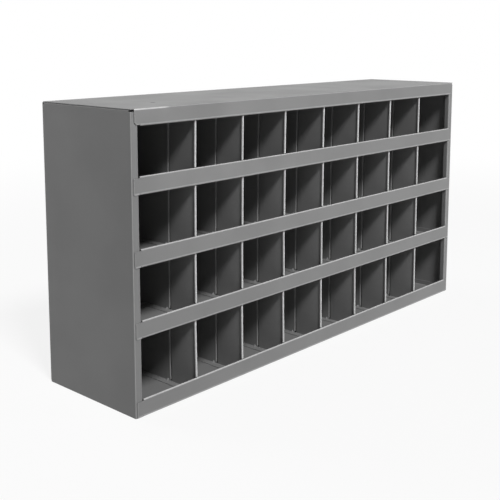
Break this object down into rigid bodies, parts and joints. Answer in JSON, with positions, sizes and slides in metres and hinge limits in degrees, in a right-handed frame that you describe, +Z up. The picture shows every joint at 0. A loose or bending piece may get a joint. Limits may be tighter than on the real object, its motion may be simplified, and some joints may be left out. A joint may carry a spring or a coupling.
{
  "type": "pigeonhole mail sorter",
  "caption": "Free-standing sheet-steel pigeonhole sorter: an open-fronted carcass of tray shelves and hemmed dividers, with a raised lip along the front of every row.",
  "frame": {"origin": "middle of the underside, on the surface that the unit stands on", "axes": "+X along the width to the right as seen from the front, +Y from the open front to the back, +Z up"},
  "size_m": [0.857, 0.208, 0.44],
  "materials": {
    "powder_coat": "satin grey powder coat with a fine orange peel"
  },
  "bodies": {
    "root": {"left_side_panel": "powder_coat", "right_side_panel": "powder_coat", "top_panel": "powder_coat", "back_panel": "powder_coat", "base_shelf": "powder_coat", "lower_shelf": "powder_coat", "middle_shelf": "powder_coat", "upper_shelf": "powder_coat", "divider_row1_1": "powder_coat", "divider_row1_2": "powder_coat", "divider_row1_3": "powder_coat", "divider_row1_4": "powder_coat", "divider_row1_5": "powder_coat", "divider_row1_6": "powder_coat", "divider_row1_7": "powder_coat", "divider_row2_1": "powder_coat", "divider_row2_2": "powder_coat", "divider_row2_3": "powder_coat", "divider_row2_4": "powder_coat", "divider_row2_5": "powder_coat", "divider_row2_6": "powder_coat", "divider_row2_7": "powder_coat", "divider_row3_1": "powder_coat", "divider_row3_2": "powder_coat", "divider_row3_3": "powder_coat", "divider_row3_4": "powder_coat", "divider_row3_5": "powder_coat", "divider_row3_6": "powder_coat", "divider_row3_7": "powder_coat", "divider_row4_1": "powder_coat", "divider_row4_2": "powder_coat", "divider_row4_3": "powder_coat", "divider_row4_4": "powder_coat", "divider_row4_5": "powder_coat", "divider_row4_6": "powder_coat", "divider_row4_7": "powder_coat"}
  },
  "joints": []
}
